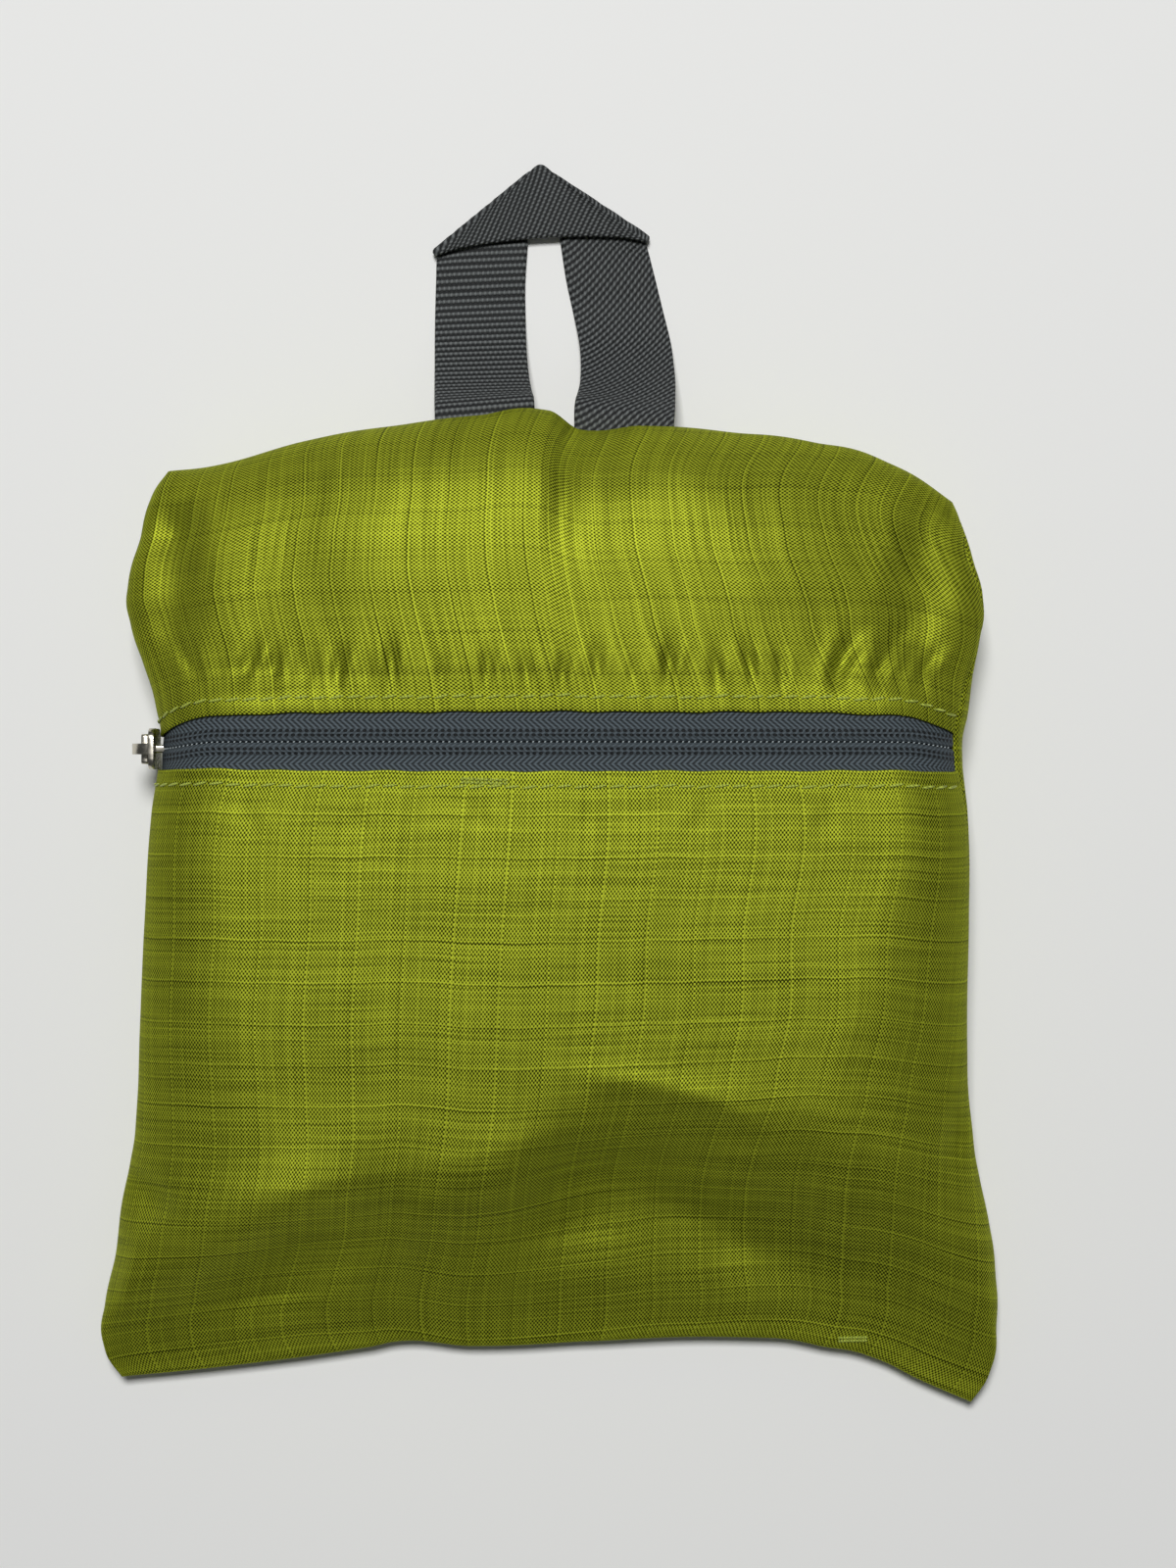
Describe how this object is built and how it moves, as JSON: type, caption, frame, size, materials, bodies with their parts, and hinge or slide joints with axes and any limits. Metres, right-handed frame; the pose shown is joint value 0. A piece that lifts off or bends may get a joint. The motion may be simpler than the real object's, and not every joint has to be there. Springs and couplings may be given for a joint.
{
  "type": "packable backpack folded into its own pouch",
  "caption": "Stuffed square cloth pouch with a zip across its front, a small slider at the zip's end and a folded webbing hang loop; the rest of the bag is folded inside.",
  "frame": {"origin": "on the surface the pouch lies on, under the middle of its bounding box", "axes": "+X to the right seen from the front, +Y from the bottom edge towards the hang loop, +Z out of the front with the zip, away from the surface"},
  "size_m": [0.188, 0.2612, 0.0374],
  "materials": {
    "pouch_cloth": "lime green ripstop nylon with a slight sheen",
    "folded_cloth": "the same green ripstop, folded",
    "zip_tape": "blue-grey herringbone zip tape",
    "zip_coil": "nylon coil",
    "webbing": "dark grey ribbed webbing",
    "nickel": "nickel-plated zinc, lightly worn"
  },
  "bodies": {
    "pouch": {"back_panel": "pouch_cloth", "front_panel_lower": "pouch_cloth", "front_panel_upper": "pouch_cloth", "zipper_tape_lower": "zip_tape", "zipper_tape_upper": "zip_tape", "zipper_coil": "zip_coil", "zip_slider": "nickel", "hang_loop": "webbing", "packed_bag": "folded_cloth"},
    "pull": {"pull_tab": "nickel"}
  },
  "joints": [
    {"name": "pull_swing", "type": "hinge", "parent": "pouch", "child": "pull", "pos_m": [-0.08314, 0.00677, 0.01828], "axis": [0, 1, 0], "range_deg": [0, 180]}
  ]
}
